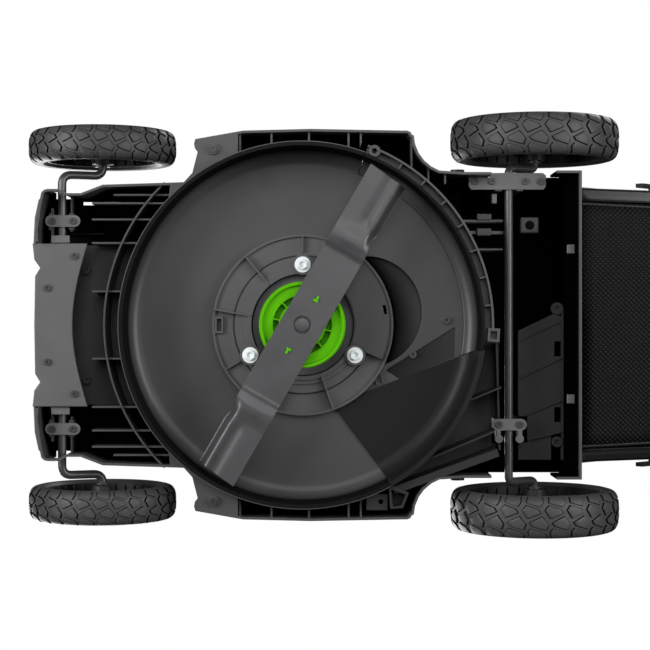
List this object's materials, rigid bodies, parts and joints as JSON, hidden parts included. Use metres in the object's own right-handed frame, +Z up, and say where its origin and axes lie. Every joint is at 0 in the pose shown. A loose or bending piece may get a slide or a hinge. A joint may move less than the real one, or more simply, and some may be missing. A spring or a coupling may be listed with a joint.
{
  "type": "push lawn mower",
  "caption": "Battery push lawn mower with round cutting deck, offset bar blade, cranked axles, folding telescopic handle and rear mesh grass bag.",
  "frame": {"origin": "middle of the ground rectangle under the whole mower, at ground level", "axes": "+X to the operator's left, +Y to the rear, +Z up"},
  "size_m": [0.5, 1.244, 0.9635],
  "materials": {
    "deck_plastic": "fine matt moulded texture",
    "insert_plastic": "fine matt moulded texture",
    "cover_plastic": "satin moulded texture",
    "plate_plastic": "satin moulded texture",
    "shroud_plastic": "satin moulded texture",
    "rim_plastic": "satin moulded texture",
    "battery_plastic": "satin moulded texture",
    "green_plastic": "semi-gloss moulded",
    "bracket_metal": "black powder coat",
    "tube_paint": "black powder coat",
    "axle_steel": "black oxide with light oil",
    "blade_steel": "black coated steel",
    "black_screw": "black oxide",
    "motor_metal": "cast",
    "bearing_steel": "ground",
    "zinc": "bright zinc plate",
    "tyre_rubber": "matt rubber",
    "foam_rubber": "soft foam",
    "bag_mesh": "open woven mesh"
  },
  "bodies": {
    "deck": {"deck_shell": "deck_plastic", "deck_insert": "insert_plastic", "mulch_plug": "insert_plastic", "discharge_chute": "insert_plastic", "front_cover": "cover_plastic", "motor_plate": "plate_plastic", "plate_cover": "cover_plastic", "rear_plate": "deck_plastic", "front_brackets": "bracket_metal", "rear_brackets": "bracket_metal", "cover_screws": "black_screw", "motor_bolts": "zinc", "top_cover": "shroud_plastic", "motor_cover": "cover_plastic", "cover_trim": "green_plastic", "motor_stator": "motor_metal", "motor_bearings": "bearing_steel", "controller": "cover_plastic", "battery_bay": "cover_plastic", "handle_brackets": "bracket_metal", "handle_bolts": "black_screw", "height_quadrant": "bracket_metal"},
    "front_crank": {"front_axle": "axle_steel", "front_clips": "zinc"},
    "rear_crank": {"rear_axle": "axle_steel", "rear_clips": "zinc"},
    "lever": {"height_lever": "cover_plastic"},
    "link": {"height_link": "axle_steel"},
    "blade_group": {"blade": "blade_steel", "blade_fan": "green_plastic", "blade_bolt": "blade_steel", "motor_rotor": "motor_metal", "motor_shaft": "bearing_steel"},
    "handle_low": {"lower_handle": "tube_paint", "tube_collars": "cover_plastic"},
    "cam_left": {"cam_lever_left": "shroud_plastic"},
    "cam_right": {"cam_lever_right": "shroud_plastic"},
    "handle_top": {"upper_handle": "tube_paint", "hand_grip": "foam_rubber", "console": "cover_plastic"},
    "bail": {"bail_lever": "axle_steel"},
    "button": {"start_button": "green_plastic"},
    "key": {"safety_key": "green_plastic"},
    "battery_pack": {"battery": "battery_plastic"},
    "door": {"rear_door": "shroud_plastic"},
    "bag": {"bag_frame": "shroud_plastic", "bag_fabric": "bag_mesh"},
    "wheel_front_left": {"tyre_front_left": "tyre_rubber", "rim_front_left": "rim_plastic", "cap_front_left": "green_plastic"},
    "wheel_front_right": {"tyre_front_right": "tyre_rubber", "rim_front_right": "rim_plastic", "cap_front_right": "green_plastic"},
    "wheel_rear_left": {"tyre_rear_left": "tyre_rubber", "rim_rear_left": "rim_plastic", "cap_rear_left": "green_plastic"},
    "wheel_rear_right": {"tyre_rear_right": "tyre_rubber", "rim_rear_right": "rim_plastic", "cap_rear_right": "green_plastic"}
  },
  "joints": [
    {"name": "front_lift", "type": "hinge", "parent": "deck", "child": "front_crank", "pos_m": [0, -0.579, 0.066], "axis": [-1, 0, 0], "range_deg": [0, 50]},
    {"name": "rear_lift", "type": "hinge", "parent": "deck", "child": "rear_crank", "pos_m": [0, -0.041, 0.077], "axis": [-1, 0, 0], "range_deg": [0, 62.5]},
    {"name": "height_set", "type": "hinge", "parent": "deck", "child": "lever", "pos_m": [0.212, -0.218, 0.118], "axis": [-1, 0, 0], "range_deg": [0, 57.6]},
    {"name": "link_travel", "type": "slide", "parent": "deck", "child": "link", "axis": [0, 1, 0], "range_m": [0, 0.027]},
    {"name": "front_left_wheel_spin", "type": "hinge", "parent": "front_crank", "child": "wheel_front_left", "pos_m": [0.2145, -0.533, 0.089], "axis": [1, 0, 0], "continuous": true},
    {"name": "front_right_wheel_spin", "type": "hinge", "parent": "front_crank", "child": "wheel_front_right", "pos_m": [-0.2145, -0.533, 0.089], "axis": [1, 0, 0], "continuous": true},
    {"name": "rear_left_wheel_spin", "type": "hinge", "parent": "rear_crank", "child": "wheel_rear_left", "pos_m": [0.225, -0.007, 0.1025], "axis": [1, 0, 0], "continuous": true},
    {"name": "rear_right_wheel_spin", "type": "hinge", "parent": "rear_crank", "child": "wheel_rear_right", "pos_m": [-0.225, -0.007, 0.1025], "axis": [1, 0, 0], "continuous": true},
    {"name": "blade_spin", "type": "hinge", "parent": "deck", "child": "blade_group", "pos_m": [0, -0.29, 0.06], "axis": [0, 0, 1], "continuous": true},
    {"name": "handle_fold", "type": "hinge", "parent": "deck", "child": "handle_low", "pos_m": [0, -0.09, 0.24], "axis": [1, 0, 0], "range_deg": [0, 112]},
    {"name": "handle_extend", "type": "slide", "parent": "handle_low", "child": "handle_top", "axis": [0, 0.7071, 0.7071], "range_m": [-0.29, 0]},
    {"name": "left_cam_open", "type": "hinge", "parent": "handle_low", "child": "cam_left", "pos_m": [0.2048, 0.23386, 0.56385], "axis": [0, -0.7071, 0.7071], "range_deg": [0, 100]},
    {"name": "right_cam_open", "type": "hinge", "parent": "handle_low", "child": "cam_right", "pos_m": [-0.2048, 0.23386, 0.56385], "axis": [0, 0.7071, -0.7071], "range_deg": [0, 100]},
    {"name": "bail_pull", "type": "hinge", "parent": "handle_top", "child": "bail", "pos_m": [0, 0.50397, 0.83397], "axis": [-1, 0, 0], "range_deg": [0, 22], "stiffness_Nm_per_rad": 0.8, "springref_deg": -34.38},
    {"name": "start_press", "type": "slide", "parent": "handle_top", "child": "button", "axis": [0, 0.7071, -0.7071], "range_m": [0, 0.004], "stiffness_N_per_m": 300, "springref_m": -0.003},
    {"name": "key_pull", "type": "slide", "parent": "deck", "child": "key", "axis": [0, 0, 1], "range_m": [0, 0.03]},
    {"name": "battery_lift", "type": "slide", "parent": "deck", "child": "battery_pack", "axis": [0, 0, 1], "range_m": [0, 0.13]},
    {"name": "door_swing", "type": "hinge", "parent": "deck", "child": "door", "pos_m": [0, 0.032, 0.25], "axis": [1, 0, 0], "range_deg": [0, 70], "stiffness_Nm_per_rad": 0.4, "springref_deg": -28.65},
    {"name": "bag_off", "type": "slide", "parent": "deck", "child": "bag", "axis": [0, 1, 0], "range_m": [0, 0.35]}
  ],
  "couplings": [
    {"joint": "rear_lift", "follows": "front_lift", "ratio": 1.246},
    {"joint": "height_set", "follows": "front_lift", "ratio": 1.15},
    {"joint": "link_travel", "follows": "front_lift", "m_per_rad": 0.0307}
  ]
}
